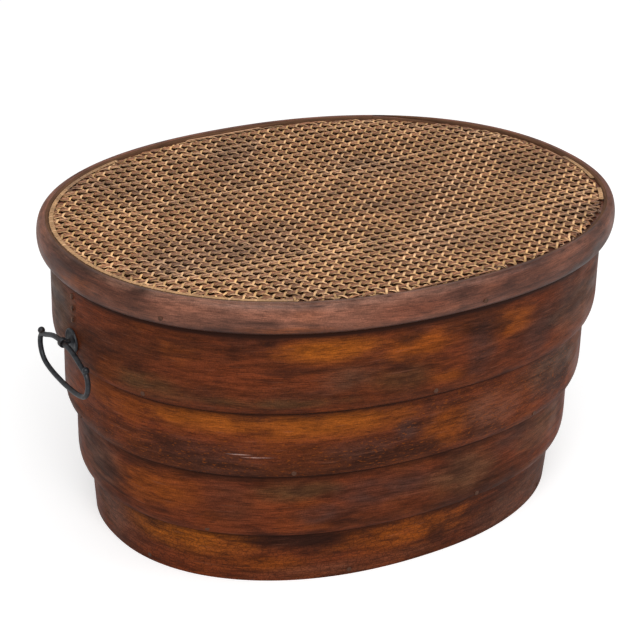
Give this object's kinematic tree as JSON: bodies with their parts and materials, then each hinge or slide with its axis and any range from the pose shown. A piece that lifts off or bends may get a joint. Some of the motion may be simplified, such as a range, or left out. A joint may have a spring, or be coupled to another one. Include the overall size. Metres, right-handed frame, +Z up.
{
  "type": "bentwood box",
  "caption": "Oval bentwood box of stepped, laced and pegged hoops with a lift-off caned lid, a bullnosed rim and a dropped iron bail at each end.",
  "frame": {"origin": "centre of the underside, on the floor, midway along both axes of the oval", "axes": "+X along the long axis towards the right-hand handle, +Y to the back, +Z up"},
  "size_m": [0.6404, 0.504, 0.3368],
  "materials": {
    "hoop_wood": "aged reddish brown with an old varnish",
    "inner_wood": "dry, unvarnished",
    "peg_wood": "end grain, aged",
    "thong": "split cane, aged",
    "cane": "woven split cane, aged gold",
    "black_iron": "blackened iron, worn"
  },
  "bodies": {
    "box": {"upper_hoop": "hoop_wood", "middle_hoop": "hoop_wood", "lower_hoop": "hoop_wood", "base_hoop": "hoop_wood", "upper_lacing": "thong", "middle_lacing": "thong", "lower_lacing": "thong", "base_lacing": "thong", "bottom_plank_front": "inner_wood", "bottom_plank_middle": "inner_wood", "bottom_plank_back": "inner_wood", "upper_peg_1": "peg_wood", "upper_peg_2": "peg_wood", "upper_peg_3": "peg_wood", "upper_peg_4": "peg_wood", "upper_peg_5": "peg_wood", "upper_peg_6": "peg_wood", "middle_peg_1": "peg_wood", "middle_peg_2": "peg_wood", "middle_peg_3": "peg_wood", "middle_peg_4": "peg_wood", "middle_peg_5": "peg_wood", "middle_peg_6": "peg_wood", "lower_peg_1": "peg_wood", "lower_peg_2": "peg_wood", "lower_peg_3": "peg_wood", "lower_peg_4": "peg_wood", "lower_peg_5": "peg_wood", "lower_peg_6": "peg_wood", "bottom_peg_1": "peg_wood", "bottom_peg_2": "peg_wood", "bottom_peg_3": "peg_wood", "bottom_peg_4": "peg_wood", "bottom_peg_5": "peg_wood", "bottom_peg_6": "peg_wood", "left_rosette": "black_iron", "right_rosette": "black_iron", "left_split_pin": "black_iron", "right_split_pin": "black_iron"},
    "lid": {"lid_rim": "hoop_wood", "lid_lip": "inner_wood", "cane_panel": "cane", "cane_binder": "cane", "lid_peg_1": "peg_wood", "lid_peg_2": "peg_wood", "lid_peg_3": "peg_wood", "lid_peg_4": "peg_wood", "lid_peg_5": "peg_wood", "lid_peg_6": "peg_wood"},
    "left_bail": {"left_bail": "black_iron"},
    "right_bail": {"right_bail": "black_iron"}
  },
  "joints": [
    {"name": "lid_lift", "type": "slide", "parent": "box", "child": "lid", "axis": [0, 0, 1], "range_m": [0, 0.15]},
    {"name": "left_bail_swing", "type": "hinge", "parent": "box", "child": "left_bail", "pos_m": [-0.3151, 0, 0.2391], "axis": [0, 1, 0], "range_deg": [-10, 165]},
    {"name": "right_bail_swing", "type": "hinge", "parent": "box", "child": "right_bail", "pos_m": [0.3151, 0, 0.2391], "axis": [0, -1, 0], "range_deg": [-10, 165]}
  ]
}
